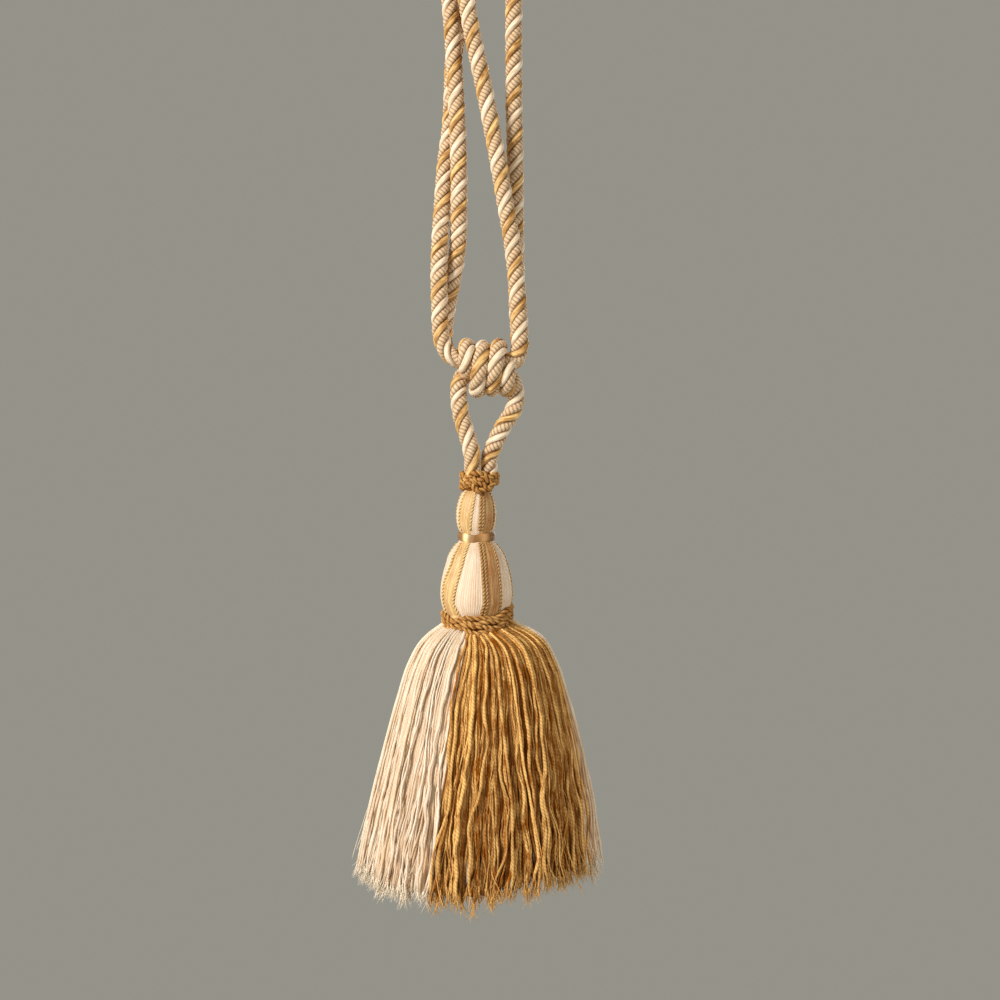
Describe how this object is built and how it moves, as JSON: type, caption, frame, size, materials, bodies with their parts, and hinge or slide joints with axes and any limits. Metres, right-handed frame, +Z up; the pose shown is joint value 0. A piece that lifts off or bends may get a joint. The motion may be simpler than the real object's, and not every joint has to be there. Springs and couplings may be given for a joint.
{
  "type": "curtain tieback tassel",
  "caption": "Hanging tieback: long rope loops gathered by a wound slide knot, with a two-tone yarn tassel below on a short rope ring.",
  "frame": {"origin": "where the rope loops bear on the hook, on the tassel's middle line", "axes": "+Z up, -Y towards the room (the front), +X to the right seen from the front"},
  "size_m": [0.1087, 0.1086, 0.4528],
  "materials": {
    "rope": "cabled viscose rope of cream satin, gold satin and ribbed gimp strands",
    "gold_cord": "thick two-ply twisted gold cord, semi-matt",
    "head_yarn": "fine yarn laid side by side in cream and gold panels, soft sheen",
    "gold_ribbon": "satin ribbon",
    "gold_yarn": "loose twisted yarn with a silky sheen",
    "cream_yarn": "loose twisted yarn with a silky sheen"
  },
  "bodies": {
    "root": {"rope_loop_left": "rope", "rope_loop_right": "rope", "slide_knot": "rope", "hanger_leg_left": "rope", "hanger_leg_right": "rope", "top_collar": "gold_cord", "head": "head_yarn", "waist_ribbon": "gold_ribbon", "skirt_collar": "gold_cord", "skirt_gold_front": "gold_yarn", "skirt_cream_right": "cream_yarn", "skirt_gold_back": "gold_yarn", "skirt_cream_left": "cream_yarn"}
  },
  "joints": []
}
